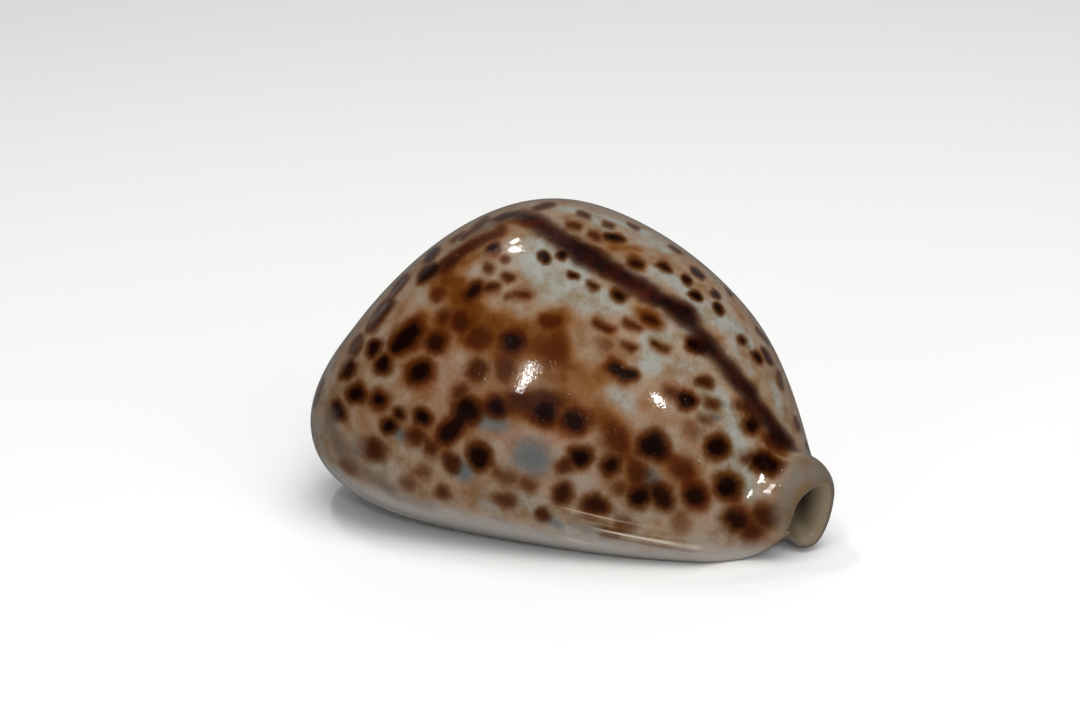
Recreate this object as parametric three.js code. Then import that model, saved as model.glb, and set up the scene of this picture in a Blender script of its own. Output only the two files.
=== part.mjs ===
import * as THREE from 'three';

// Spotted cowrie shell, one hollow grown piece, in millimetres with +Z up.
// +X is the anterior end with the canal snout, -Y the outer-lip side, z = 0 the resting plane.
// The origin is the middle of the bounding box's bottom face.

// The two ends of the shell, before its rims lean, and how far the rims are rounded over
const POSTERIOR_X = -42.5;
const ANTERIOR_X = 42.5;
const POSTERIOR_RIM = 2;
const ANTERIOR_RIM = 3.2;

// Every profile below is a list of [x, value] knots joined by a natural cubic spline.
// Height of the crown of the back, and how far the crown stands off the middle line
const CROWN_HEIGHT = [
  [-42.5, 10.2], [-41, 13.6], [-39, 19], [-36, 24.6], [-31, 31], [-24, 38.2], [-15, 44.3], [-6, 46.7],
  [4, 45.4], [13, 41.9], [21, 37.1], [27.5, 30.6], [32, 22], [35.2, 16], [38.5, 14.6], [42.5, 13],
];
const CROWN_OFFSET = [[-42.5, 3.5], [-34, 2], [-20, 0.5], [0, 0], [20, 0], [34, 0], [42.5, 0.2]];

// The widest line of each side, in y, and its height
const NEAR_MARGIN = [
  [-42.5, -4.2], [-41, -9.2], [-39, -14.2], [-35, -20.2], [-28, -25.4], [-18, -27.8], [-8, -27.1],
  [4, -24.8], [15, -21.2], [24, -17.3], [30.5, -13], [35, -9.3], [38.5, -7.4], [42.5, -6.4],
];
const FAR_MARGIN = [
  [-42.5, 8.4], [-41, 12], [-39, 15.6], [-35, 20], [-28, 24.6], [-18, 27.3], [-8, 27.2],
  [4, 25.2], [15, 22.2], [24, 18], [30.5, 13.6], [35, 9.4], [38.5, 7], [42.5, 5.6],
];
const MARGIN_HEIGHT = [
  [-42.5, 6.5], [-38, 10.8], [-31, 14.2], [-16, 15], [0, 14.8], [15, 13.6], [26, 11.8], [33, 9],
  [38, 7.8], [42.5, 7.6],
];

// The underside: height of each lip's lowest line, and the width of the flat beside it
const NEAR_BASE = [
  [-42.5, 3.2], [-38, 1.4], [-30, 0.3], [-20, 0], [0, 0], [15, 0], [27, 0], [33, 0.1], [38, 0.6],
  [42.5, 3],
];
const FAR_BASE = [
  [-42.5, 3.2], [-38, 1.4], [-30, 0.3], [-20, 0], [0, 0], [15, 0], [27, 0], [33, 0.2], [38, 1], [42.5, 0],
];
const FLAT_WIDTH = [
  [-42.5, 0.4], [-34, 0.7], [-22, 2.4], [0, 3.4], [18, 2.4], [30, 0.9], [42.5, 0.4],
];

// The slit between the lips: its centre line and half its clear width
const SLIT_CENTRE = [
  [-42.5, 3.2], [-38, 2.6], [-33, 1.2], [-26, -1], [-15, -2.9], [0, -3.6], [15, -3.2], [28, -2.2],
  [36, -1.5], [42.5, -1.6],
];
const SLIT_HALF_WIDTH = [
  [-42.5, 1.6], [-36, 1.7], [-25, 2.2], [0, 2.5], [20, 2.9], [34, 2.4], [42.5, 1.1],
];

// The rolled lips: from slit to lowest line, and from underside to inner floor
const LIP_WIDTH = [[-42.5, 1.6], [-36, 2.8], [-25, 3.8], [0, 4], [20, 4], [34, 2.4], [42.5, 1.6]];
const LIP_HEIGHT = [
  [-42.5, 3.2], [-36, 5.5], [-25, 8], [0, 8.5], [20, 8], [32, 5.5], [37, 3.4], [42.5, 2.8],
];

// Wall thickness at the crown and at the widest line
const CROWN_WALL = [
  [-42.5, 2.6], [-36, 3], [-25, 2.4], [0, 2.1], [20, 2.4], [32, 3.4], [37, 3.4], [42.5, 3.6],
];
const MARGIN_WALL = [
  [-42.5, 2.4], [-36, 3.4], [-25, 3.6], [0, 3.6], [20, 3.6], [32, 3.5], [37, 3.7], [42.5, 4],
];

// Superellipse powers of the section above and below the widest line; 2 is an ellipse
const UPPER_POWER = [[-42.5, 2], [-20, 2.05], [0, 2.05], [20, 2.05], [34, 2], [42.5, 2]];
const LOWER_POWER = [[-42.5, 2], [-30, 2.1], [0, 2.2], [20, 2.1], [34, 2], [42.5, 2]];
const INNER_LOWER_POWER = 2;
const LIP_POWER = 2;

// The hollow follows the outside: its widest line is a little higher, its lips a little narrower
const INNER_MARGIN_RISE = 0.5;
const INNER_LIP_SHARE = 0.8;
const INNER_FLAT_SHARE = 0.5;

// Share of a lip's width that is left where it ends at a rim, so that its end is round
const LIP_END_SHARE = 0.35;

// How the two rims lean: the snout's top reaches forward, its near side is set back
const ANTERIOR_LEAN_FROM = 27;
const ANTERIOR_LEAN_RUN = 15.5;
const ANTERIOR_LEAN = 0.22;
const ANTERIOR_TWIST = 0.02;
const ANTERIOR_SKEW = 0.15;
const ANTERIOR_LEAN_HEIGHT = 12;
const POSTERIOR_LEAN_FROM = -30;
const POSTERIOR_LEAN_RUN = 12;
const POSTERIOR_LEAN = -0.12;
const POSTERIOR_LEAN_HEIGHT = 10;

// Teeth along both lips: grooves are sunk between crests that keep the lip's own surface
const TEETH_FROM = -27.6;
const TEETH_TO = 30;
const TOOTH_PITCH = 2.4;
const GROOVE_DEPTH = 0.8;
const STATIONS_PER_TOOTH = 4;
const NEAR_TOOTH_REACH = [1, 1, 1, 1, 0.8];
const FAR_TOOTH_REACH = [1, 1, 0.9, 0.5, 0.15];
const INNER_TOOTH_REACH = [1, 0.8, 0.4, 0, 0];

// Moves the middle of the bounding box onto the origin
const CENTRE_X = 0.79;
const CENTRE_Y = 0.16;

// Facets of a half section, from the slit to the crown
const LIP_STEPS = 4;
const FLAT_SPLIT = [1 / 3, 1];
const LOWER_STEPS = 6;
const UPPER_STEPS = 9;
const CROWN_COLUMN = LIP_STEPS + FLAT_SPLIT.length + LOWER_STEPS + UPPER_STEPS;
const LAST_COLUMN = 2 * CROWN_COLUMN;

// Columns that carry teeth keep every station; the columns of the hollow are fewer
const LAST_TOOTH_COLUMN = LIP_STEPS + 1;
const INNER_HALF_COLUMNS = [1, 2, 3, 4, 5, 6, 9, 12, 15, 18];
const LAST_INNER_TOOTH_COLUMN = 2;

// Stations along the shell
const RIM_STEPS = 4;
const POSTERIOR_STEPS = 7;
const ANTERIOR_STEPS = 6;
const OUTER_STRIDE = 3;
const INNER_STRIDE = 8;
const INNER_END_STRIDE = 2;

function splineOf(knots) {
  const count = knots.length;
  const bend = new Array(count).fill(0);
  const share = new Array(count).fill(0);
  for (let i = 1; i < count - 1; i += 1) {
    const before = knots[i][0] - knots[i - 1][0];
    const after = knots[i + 1][0] - knots[i][0];
    const rise = (knots[i + 1][1] - knots[i][1]) / after;
    const riseBefore = (knots[i][1] - knots[i - 1][1]) / before;
    const pivot = 2 * (before + after) - before * share[i - 1];
    share[i] = after / pivot;
    bend[i] = (6 * (rise - riseBefore) - before * bend[i - 1]) / pivot;
  }
  for (let i = count - 2; i > 0; i -= 1) {
    bend[i] -= share[i] * bend[i + 1];
  }
  return (x) => {
    let i = 0;
    while (i < count - 2 && x > knots[i + 1][0]) {
      i += 1;
    }
    const gap = knots[i + 1][0] - knots[i][0];
    const left = knots[i + 1][0] - x;
    const right = x - knots[i][0];
    const curve = (bend[i] * left ** 3 + bend[i + 1] * right ** 3) / (6 * gap);
    const start = (knots[i][1] / gap - (bend[i] * gap) / 6) * left;
    const end = (knots[i + 1][1] / gap - (bend[i + 1] * gap) / 6) * right;
    return curve + start + end;
  };
}

const crownHeight = splineOf(CROWN_HEIGHT);
const crownOffset = splineOf(CROWN_OFFSET);
const nearMargin = splineOf(NEAR_MARGIN);
const farMargin = splineOf(FAR_MARGIN);
const marginHeight = splineOf(MARGIN_HEIGHT);
const nearBase = splineOf(NEAR_BASE);
const farBase = splineOf(FAR_BASE);
const flatWidth = splineOf(FLAT_WIDTH);
const slitCentre = splineOf(SLIT_CENTRE);
const slitHalfWidth = splineOf(SLIT_HALF_WIDTH);
const lipWidth = splineOf(LIP_WIDTH);
const lipHeight = splineOf(LIP_HEIGHT);
const crownWall = splineOf(CROWN_WALL);
const marginWall = splineOf(MARGIN_WALL);
const upperPower = splineOf(UPPER_POWER);
const lowerPower = splineOf(LOWER_POWER);

function smoothStep(t) {
  const clamped = Math.min(Math.max(t, 0), 1);
  return clamped * clamped * (3 - 2 * clamped);
}

// A quarter of a superellipse, from its end level with the centre (0) to the one above or below (1)
function quarterPoint(centre, end, share, power) {
  const angle = (share * Math.PI) / 2;
  const across = Math.max(Math.cos(angle), 0) ** (2 / power);
  const up = Math.sin(angle) ** (2 / power);
  return [centre[0] + (end[0] - centre[0]) * across, centre[1] + (end[1] - centre[1]) * up];
}

// Over the last millimetres at both ends the outer and inner outlines round over and meet
function rimShare(x) {
  const posterior = (POSTERIOR_X + POSTERIOR_RIM - x) / POSTERIOR_RIM;
  const anterior = (x - ANTERIOR_X + ANTERIOR_RIM) / ANTERIOR_RIM;
  const past = Math.max(posterior, anterior, 0);
  return Math.sqrt(Math.max(1 - past ** 2, 0));
}

function blendedNumber(from, to, share) {
  return from + (to - from) * share;
}

function grooveDepth(x) {
  const fadeIn = smoothStep((x - TEETH_FROM) / TOOTH_PITCH);
  const fadeOut = smoothStep((TEETH_TO - x) / TOOTH_PITCH);
  const wave = 0.5 - 0.5 * Math.cos((2 * Math.PI * (x - TEETH_FROM)) / TOOTH_PITCH);
  return GROOVE_DEPTH * wave * fadeIn * fadeOut;
}

function movedTowards(point, target, distance) {
  const dy = target[0] - point[0];
  const dz = target[1] - point[1];
  const length = Math.hypot(dy, dz);
  return [point[0] + (dy / length) * distance, point[1] + (dz / length) * distance];
}

// One side's sizes at a station; side is -1 for the near lip and +1 for the far one
function halfSizes(x, side) {
  const base = Math.max(side < 0 ? nearBase(x) : farBase(x), 0);
  const margin = side < 0 ? nearMargin(x) : farMargin(x);
  const edge = slitCentre(x) + side * slitHalfWidth(x);
  const drawnBack = (1 - LIP_END_SHARE) * (1 - rimShare(x));
  const lowest = edge + side * lipWidth(x);
  const tip = blendedNumber(edge, lowest, drawnBack);
  return {
    base,
    margin,
    tip,
    tipHeight: base + lipHeight(x) / 2,
    floor: base + lipHeight(x),
    lowest,
    flat: side * flatWidth(x),
    innerLowest: blendedNumber(tip, lowest, INNER_LIP_SHARE),
    innerMargin: margin - side * marginWall(x),
    innerCrown: crownHeight(x) - crownWall(x),
    reach: side < 0 ? NEAR_TOOTH_REACH : FAR_TOOTH_REACH,
  };
}

function outerHalf(x, side) {
  const s = halfSizes(x, side);
  const points = [];
  const lipCentre = [s.lowest, s.tipHeight];
  for (let k = 0; k <= LIP_STEPS; k += 1) {
    const point = quarterPoint(lipCentre, [s.tip, s.base], k / LIP_STEPS, LIP_POWER);
    points.push(movedTowards(point, lipCentre, grooveDepth(x) * s.reach[k]));
  }
  for (const share of FLAT_SPLIT) {
    points.push([s.lowest + s.flat * share, s.base]);
  }
  const lowerCentre = [s.lowest + s.flat, marginHeight(x)];
  for (let k = 1; k <= LOWER_STEPS; k += 1) {
    points.push(quarterPoint(lowerCentre, [s.margin, s.base], 1 - k / LOWER_STEPS, lowerPower(x)));
  }
  const upperCentre = [crownOffset(x), marginHeight(x)];
  for (let k = 1; k <= UPPER_STEPS; k += 1) {
    points.push(quarterPoint(upperCentre, [s.margin, crownHeight(x)], k / UPPER_STEPS, upperPower(x)));
  }
  return points;
}

function innerHalf(x, side) {
  const s = halfSizes(x, side);
  const points = [];
  const lipCentre = [s.innerLowest, s.tipHeight];
  for (let k = 0; k <= LIP_STEPS; k += 1) {
    const point = quarterPoint(lipCentre, [s.tip, s.floor], k / LIP_STEPS, LIP_POWER);
    points.push(movedTowards(point, lipCentre, grooveDepth(x) * INNER_TOOTH_REACH[k]));
  }
  const innerFlat = s.flat * INNER_FLAT_SHARE;
  for (const share of FLAT_SPLIT) {
    points.push([s.innerLowest + innerFlat * share, s.floor]);
  }
  const middle = marginHeight(x) + INNER_MARGIN_RISE;
  const lowerCentre = [s.innerLowest + innerFlat, middle];
  for (let k = 1; k <= LOWER_STEPS; k += 1) {
    const share = 1 - k / LOWER_STEPS;
    points.push(quarterPoint(lowerCentre, [s.innerMargin, s.floor], share, INNER_LOWER_POWER));
  }
  const upperCentre = [crownOffset(x), middle];
  for (let k = 1; k <= UPPER_STEPS; k += 1) {
    points.push(quarterPoint(upperCentre, [s.innerMargin, s.innerCrown], k / UPPER_STEPS, upperPower(x)));
  }
  return points;
}

function wholeOutline(x, half) {
  const near = half(x, -1);
  const far = half(x, 1);
  far.pop();
  return near.concat(far.reverse());
}

function blended(from, to, share) {
  return [blendedNumber(from[0], to[0], share), blendedNumber(from[1], to[1], share)];
}

function placed(x, point) {
  const [y, z] = point;
  const anterior = smoothStep((x - ANTERIOR_LEAN_FROM) / ANTERIOR_LEAN_RUN);
  const posterior = smoothStep((POSTERIOR_LEAN_FROM - x) / POSTERIOR_LEAN_RUN);
  const tilt = (ANTERIOR_LEAN - ANTERIOR_TWIST * y) * (z - ANTERIOR_LEAN_HEIGHT);
  const skew = ANTERIOR_SKEW * (y - ANTERIOR_LEAN_HEIGHT);
  const back = POSTERIOR_LEAN * (z - POSTERIOR_LEAN_HEIGHT);
  return [x + anterior * (tilt + skew) + posterior * back + CENTRE_X, y + CENTRE_Y, z];
}

function evenly(from, to, steps) {
  return Array.from({ length: steps }, (_, i) => from + ((to - from) * i) / steps);
}

// Stations along the shell, and which of them each kind of column uses
function stationPlan() {
  const rim = Array.from({ length: RIM_STEPS }, (_, i) => Math.sin(((RIM_STEPS - i) * Math.PI) / 2 / RIM_STEPS));
  const toothSteps = Math.round(((TEETH_TO - TEETH_FROM) / TOOTH_PITCH) * STATIONS_PER_TOOTH);
  const xs = [
    ...rim.map((t) => POSTERIOR_X + POSTERIOR_RIM * (1 - t)),
    ...evenly(POSTERIOR_X + POSTERIOR_RIM, TEETH_FROM, POSTERIOR_STEPS),
    ...evenly(TEETH_FROM, TEETH_TO, toothSteps),
    ...evenly(TEETH_TO, ANTERIOR_X - ANTERIOR_RIM, ANTERIOR_STEPS),
    ANTERIOR_X - ANTERIOR_RIM,
    ...rim.map((t) => ANTERIOR_X - ANTERIOR_RIM * (1 - t)).reverse(),
  ];
  const last = xs.length - 1;
  const firstTooth = RIM_STEPS + POSTERIOR_STEPS;
  const lastTooth = firstTooth + toothSteps;
  const inTeeth = (i) => i >= firstTooth && i <= lastTooth;
  const toothed = xs.map((_, i) => i);
  const outer = toothed.filter((i) => !inTeeth(i) || (i - firstTooth) % OUTER_STRIDE === 0);
  const fromEnd = (i) => Math.min(i, last - i);
  const inner = toothed.filter((i) => {
    if (inTeeth(i)) {
      return (i - firstTooth) % INNER_STRIDE === 0;
    }
    return fromEnd(i) <= RIM_STEPS || fromEnd(i) % INNER_END_STRIDE === 0;
  });
  return { xs, last, toothed, outer, inner };
}

// Two neighbouring columns are joined by triangles, always stepping along the one that lags
function joinColumns(a, b, triangles) {
  let i = 0;
  let j = 0;
  while (i < a.length - 1 || j < b.length - 1) {
    const stepA = j === b.length - 1 || (i < a.length - 1 && a[i + 1].at <= b[j + 1].at);
    if (stepA) {
      triangles.push([a[i].index, a[i + 1].index, b[j].index]);
      i += 1;
    } else {
      triangles.push([a[i].index, b[j + 1].index, b[j].index]);
      j += 1;
    }
  }
}

function shellGeometry() {
  const plan = stationPlan();
  const sections = plan.xs.map((x) => {
    const outer = wholeOutline(x, outerHalf);
    const inner = wholeOutline(x, innerHalf);
    const share = rimShare(x);
    const middle = outer.map((point, k) => blended(point, inner[k], 0.5));
    return {
      outer: outer.map((point, k) => placed(x, blended(middle[k], point, share))),
      inner: inner.map((point, k) => placed(x, blended(middle[k], point, share))),
    };
  });

  const positions = [];
  const addVertex = (point) => {
    positions.push(...point);
    return positions.length / 3 - 1;
  };

  const outerColumns = [];
  for (let column = 0; column <= LAST_COLUMN; column += 1) {
    const fromSlit = Math.min(column, LAST_COLUMN - column);
    const used = fromSlit <= LAST_TOOTH_COLUMN ? plan.toothed : plan.outer;
    outerColumns.push(used.map((at) => ({ at, index: addVertex(sections[at].outer[column]) })));
  }

  const innerColumnNumbers = [
    0,
    ...INNER_HALF_COLUMNS,
    CROWN_COLUMN,
    ...INNER_HALF_COLUMNS.map((column) => LAST_COLUMN - column).reverse(),
    LAST_COLUMN,
  ];
  const innerColumns = innerColumnNumbers.map((column) => {
    const fromSlit = Math.min(column, LAST_COLUMN - column);
    if (fromSlit === 0) {
      return outerColumns[column];
    }
    const used = fromSlit <= LAST_INNER_TOOTH_COLUMN ? plan.toothed : plan.inner;
    return used.map((at) => {
      if (at === 0) {
        return outerColumns[column][0];
      }
      if (at === plan.last) {
        return outerColumns[column].at(-1);
      }
      return { at, index: addVertex(sections[at].inner[column]) };
    });
  });

  const triangles = [];
  for (let column = 0; column < LAST_COLUMN; column += 1) {
    joinColumns(outerColumns[column], outerColumns[column + 1], triangles);
  }
  for (let k = 0; k < innerColumns.length - 1; k += 1) {
    joinColumns(innerColumns[k + 1], innerColumns[k], triangles);
    const first = innerColumnNumbers[k];
    for (let column = first + 1; column < innerColumnNumbers[k + 1]; column += 1) {
      const start = [first, column, column + 1].map((c) => outerColumns[c][0].index);
      const end = [first, column, column + 1].map((c) => outerColumns[c].at(-1).index);
      triangles.push([start[0], start[1], start[2]]);
      triangles.push([end[0], end[2], end[1]]);
    }
  }

  const geometry = new THREE.BufferGeometry();
  geometry.setAttribute('position', new THREE.Float32BufferAttribute(positions, 3));
  geometry.setIndex(triangles.flat());
  geometry.computeVertexNormals();
  return geometry;
}

const material = new THREE.MeshStandardMaterial({ color: 0xa0876a, roughness: 0.2 });
const shell = new THREE.Mesh(shellGeometry(), material);
shell.name = 'cowrie_shell';

const cowrie = new THREE.Group();
cowrie.name = 'cowrie';
cowrie.add(shell);

export default cowrie;
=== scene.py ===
import math
from itertools import islice

import bpy
import numpy as np
from mathutils import Matrix, Quaternion, Vector


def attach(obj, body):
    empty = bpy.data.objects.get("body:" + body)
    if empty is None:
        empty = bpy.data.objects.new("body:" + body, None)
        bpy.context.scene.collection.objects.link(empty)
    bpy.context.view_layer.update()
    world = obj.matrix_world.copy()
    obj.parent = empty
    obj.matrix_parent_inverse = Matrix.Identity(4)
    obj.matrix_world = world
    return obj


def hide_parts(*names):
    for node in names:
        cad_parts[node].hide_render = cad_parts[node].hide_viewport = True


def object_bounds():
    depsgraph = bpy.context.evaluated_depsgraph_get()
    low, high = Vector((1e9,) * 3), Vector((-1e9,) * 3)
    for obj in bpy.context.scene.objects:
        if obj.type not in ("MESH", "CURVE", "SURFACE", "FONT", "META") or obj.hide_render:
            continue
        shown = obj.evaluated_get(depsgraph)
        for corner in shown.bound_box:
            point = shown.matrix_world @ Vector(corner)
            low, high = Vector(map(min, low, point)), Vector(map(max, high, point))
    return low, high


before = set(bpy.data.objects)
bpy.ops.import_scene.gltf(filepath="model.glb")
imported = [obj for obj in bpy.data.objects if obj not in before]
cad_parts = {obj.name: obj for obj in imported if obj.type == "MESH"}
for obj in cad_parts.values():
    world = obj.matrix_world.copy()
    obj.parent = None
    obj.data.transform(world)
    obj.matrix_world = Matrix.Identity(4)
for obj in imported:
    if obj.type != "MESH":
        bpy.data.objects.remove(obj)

CAD_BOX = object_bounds()

# Sizes are in millimetres here and become metres when the mesh is made.
MM = 0.001
PIECE = "cowrie_surface"
NODE = "cowrie_shell"

# Shape of the shell: the same named values as the solid's source, on a finer net of points
POSTERIOR_X = -42.5
ANTERIOR_X = 42.5
POSTERIOR_RIM = 2.0
ANTERIOR_RIM = 3.2
CROWN_HEIGHT = [
    (-42.5, 10.2), (-41, 13.6), (-39, 19), (-36, 24.6), (-31, 31), (-24, 38.2), (-15, 44.3), (-6, 46.7),
    (4, 45.4), (13, 41.9), (21, 37.1), (27.5, 30.6), (32, 22), (35.2, 16), (38.5, 14.6), (42.5, 13),
]
CROWN_OFFSET = [(-42.5, 3.5), (-34, 2), (-20, 0.5), (0, 0), (20, 0), (34, 0), (42.5, 0.2)]
NEAR_MARGIN = [
    (-42.5, -4.2), (-41, -9.2), (-39, -14.2), (-35, -20.2), (-28, -25.4), (-18, -27.8), (-8, -27.1),
    (4, -24.8), (15, -21.2), (24, -17.3), (30.5, -13), (35, -9.3), (38.5, -7.4), (42.5, -6.4),
]
FAR_MARGIN = [
    (-42.5, 8.4), (-41, 12), (-39, 15.6), (-35, 20), (-28, 24.6), (-18, 27.3), (-8, 27.2),
    (4, 25.2), (15, 22.2), (24, 18), (30.5, 13.6), (35, 9.4), (38.5, 7), (42.5, 5.6),
]
MARGIN_HEIGHT = [
    (-42.5, 6.5), (-38, 10.8), (-31, 14.2), (-16, 15), (0, 14.8), (15, 13.6), (26, 11.8), (33, 9),
    (38, 7.8), (42.5, 7.6),
]
NEAR_BASE = [
    (-42.5, 3.2), (-38, 1.4), (-30, 0.3), (-20, 0), (0, 0), (15, 0), (27, 0), (33, 0.1), (38, 0.6),
    (42.5, 3),
]
FAR_BASE = [
    (-42.5, 3.2), (-38, 1.4), (-30, 0.3), (-20, 0), (0, 0), (15, 0), (27, 0), (33, 0.2), (38, 1), (42.5, 0),
]
FLAT_WIDTH = [(-42.5, 0.4), (-34, 0.7), (-22, 2.4), (0, 3.4), (18, 2.4), (30, 0.9), (42.5, 0.4)]
SLIT_CENTRE = [
    (-42.5, 3.2), (-38, 2.6), (-33, 1.2), (-26, -1), (-15, -2.9), (0, -3.6), (15, -3.2), (28, -2.2),
    (36, -1.5), (42.5, -1.6),
]
SLIT_HALF_WIDTH = [(-42.5, 1.6), (-36, 1.7), (-25, 2.2), (0, 2.5), (20, 2.9), (34, 2.4), (42.5, 1.1)]
LIP_WIDTH = [(-42.5, 1.6), (-36, 2.8), (-25, 3.8), (0, 4), (20, 4), (34, 2.4), (42.5, 1.6)]
LIP_HEIGHT = [(-42.5, 3.2), (-36, 5.5), (-25, 8), (0, 8.5), (20, 8), (32, 5.5), (37, 3.4), (42.5, 2.8)]
CROWN_WALL = [
    (-42.5, 2.6), (-36, 3), (-25, 2.4), (0, 2.1), (20, 2.4), (32, 3.4), (37, 3.4), (42.5, 3.6),
]
MARGIN_WALL = [
    (-42.5, 2.4), (-36, 3.4), (-25, 3.6), (0, 3.6), (20, 3.6), (32, 3.5), (37, 3.7), (42.5, 4),
]
UPPER_POWER = [(-42.5, 2), (-20, 2.05), (0, 2.05), (20, 2.05), (34, 2), (42.5, 2)]
LOWER_POWER = [(-42.5, 2), (-30, 2.1), (0, 2.2), (20, 2.1), (34, 2), (42.5, 2)]
INNER_LOWER_POWER = 2.0
INNER_MARGIN_RISE = 0.5
INNER_LIP_SHARE = 0.8
INNER_FLAT_SHARE = 0.5
LIP_END_SHARE = 0.35
ANTERIOR_LEAN_FROM = 27
ANTERIOR_LEAN_RUN = 15.5
ANTERIOR_LEAN = 0.22
ANTERIOR_TWIST = 0.02
ANTERIOR_SKEW = 0.15
ANTERIOR_LEAN_HEIGHT = 12
POSTERIOR_LEAN_FROM = -30
POSTERIOR_LEAN_RUN = 12
POSTERIOR_LEAN = -0.12
POSTERIOR_LEAN_HEIGHT = 10
TEETH_FROM = -27.6
TEETH_TO = 30.0
TOOTH_PITCH = 2.4
GROOVE_DEPTH = 0.8
CENTRE_X = 0.79
CENTRE_Y = 0.16

# How far each tooth runs over its lip: share of the lip's quarter turn, depth share
NEAR_TOOTH_REACH = [(0, 1), (0.75, 1), (1, 0.8)]
FAR_TOOTH_REACH = [(0, 1), (0.25, 1), (0.5, 0.9), (0.75, 0.5), (1, 0.15)]
INNER_TOOTH_REACH = [(0, 1), (0.25, 0.8), (0.5, 0.4), (0.75, 0), (1, 0)]

# Net of points: steps of a half section from slit to crown, and stations along the shell
LIP_STEPS = 8
FLAT_STEPS = 4
LOWER_STEPS = 30
UPPER_STEPS = 100
INNER_COLUMN_STRIDE = 3
RIM_STEPS = 8
POSTERIOR_STEPS = 29
STATIONS_PER_TOOTH = 8
ANTERIOR_STEPS = 25
INNER_STATION_STRIDE = 5
INNER_SNOUT_STRIDE = 2


def spline(knots):
    """The natural cubic spline through the knots, as a function of an array of x."""
    at, value = np.array(knots, float).T
    count = len(at)
    gap = np.diff(at)
    system = np.eye(count)
    right = np.zeros(count)
    for i in range(1, count - 1):
        system[i, i - 1:i + 2] = gap[i - 1], 2 * (gap[i - 1] + gap[i]), gap[i]
        right[i] = 6 * ((value[i + 1] - value[i]) / gap[i] - (value[i] - value[i - 1]) / gap[i - 1])
    bend = np.linalg.solve(system, right)

    def curve(x):
        i = np.clip(np.searchsorted(at, x) - 1, 0, count - 2)
        before = at[i + 1] - x
        after = x - at[i]
        cubic = (bend[i] * before**3 + bend[i + 1] * after**3) / (6 * gap[i])
        start = (value[i] / gap[i] - bend[i] * gap[i] / 6) * before
        end = (value[i + 1] / gap[i] - bend[i + 1] * gap[i] / 6) * after
        return cubic + start + end

    return curve


def smooth_step(t):
    t = np.clip(t, 0, 1)
    return t * t * (3 - 2 * t)


def quarter(centre, end, share, power):
    """A superellipse quarter: share 0 is level with its centre, share 1 is straight above or below."""
    angle = share * math.pi / 2
    across = max(math.cos(angle), 0) ** (2 / power)
    up = math.sin(angle) ** (2 / power)
    return centre[0] + (end[0] - centre[0]) * across, centre[1] + (end[1] - centre[1]) * up


def towards(point, target, distance):
    dy = target[0] - point[0]
    dz = target[1] - point[1]
    length = np.hypot(dy, dz)
    return point[0] + dy / length * distance, point[1] + dz / length * distance


def groove_depth(x):
    fade = smooth_step((x - TEETH_FROM) / TOOTH_PITCH) * smooth_step((TEETH_TO - x) / TOOTH_PITCH)
    wave = 0.5 - 0.5 * np.cos(2 * math.pi * (x - TEETH_FROM) / TOOTH_PITCH)
    return GROOVE_DEPTH * wave * fade


def reach_at(reach, share):
    at, depth = zip(*reach)
    return float(np.interp(share, at, depth))


def lip_points(x, lowest, tip, tip_height, level, reach):
    """The rounded lip, from the slit to its lowest point, with the grooves between its teeth."""
    points = []
    for k in range(LIP_STEPS + 1):
        share = k / LIP_STEPS
        point = quarter((lowest, tip_height), (tip, level), share, 2)
        points.append(towards(point, (lowest, tip_height), groove_depth(x) * reach_at(reach, share)))
    return points


def half_outline(x, side, hollow):
    """Points of one side's outline, slit to crown, for every station x. side is -1 near, +1 far."""
    base = np.maximum(spline(NEAR_BASE if side < 0 else FAR_BASE)(x), 0)
    margin = spline(NEAR_MARGIN if side < 0 else FAR_MARGIN)(x)
    middle = spline(MARGIN_HEIGHT)(x)
    lip_height = spline(LIP_HEIGHT)(x)
    flat = side * spline(FLAT_WIDTH)(x)
    top = spline(CROWN_OFFSET)(x)
    crown = spline(CROWN_HEIGHT)(x)
    edge = spline(SLIT_CENTRE)(x) + side * spline(SLIT_HALF_WIDTH)(x)
    lip_end = edge + side * spline(LIP_WIDTH)(x)
    tip = edge + (lip_end - edge) * (1 - LIP_END_SHARE) * (1 - rim_share(x))
    tip_height = base + lip_height / 2
    upper_power = spline(UPPER_POWER)(x)
    lower_power = spline(LOWER_POWER)(x)
    reach = NEAR_TOOTH_REACH if side < 0 else FAR_TOOTH_REACH
    level = base
    lowest = lip_end
    if hollow:
        level = base + lip_height
        lowest = tip + (lip_end - tip) * INNER_LIP_SHARE
        flat = flat * INNER_FLAT_SHARE
        margin = margin - side * spline(MARGIN_WALL)(x)
        middle = middle + INNER_MARGIN_RISE
        crown = crown - spline(CROWN_WALL)(x)
        lower_power = np.full_like(x, INNER_LOWER_POWER)
        reach = INNER_TOOTH_REACH
    points = lip_points(x, lowest, tip, tip_height, level, reach)
    for k in range(1, FLAT_STEPS + 1):
        points.append((lowest + flat * k / FLAT_STEPS, level))
    for k in range(1, LOWER_STEPS + 1):
        points.append(quarter((lowest + flat, middle), (margin, level), 1 - k / LOWER_STEPS, lower_power))
    for k in range(1, UPPER_STEPS + 1):
        points.append(quarter((top, middle), (margin, crown), k / UPPER_STEPS, upper_power))
    return points


def whole_outline(x, hollow):
    near = half_outline(x, -1, hollow)
    far = half_outline(x, 1, hollow)
    return np.array(near + far[-2::-1]).transpose(2, 0, 1)


def rim_share(x):
    posterior = (POSTERIOR_X + POSTERIOR_RIM - x) / POSTERIOR_RIM
    anterior = (x - ANTERIOR_X + ANTERIOR_RIM) / ANTERIOR_RIM
    past = np.maximum(np.maximum(posterior, anterior), 0)
    return np.sqrt(np.maximum(1 - past**2, 0))


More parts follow.
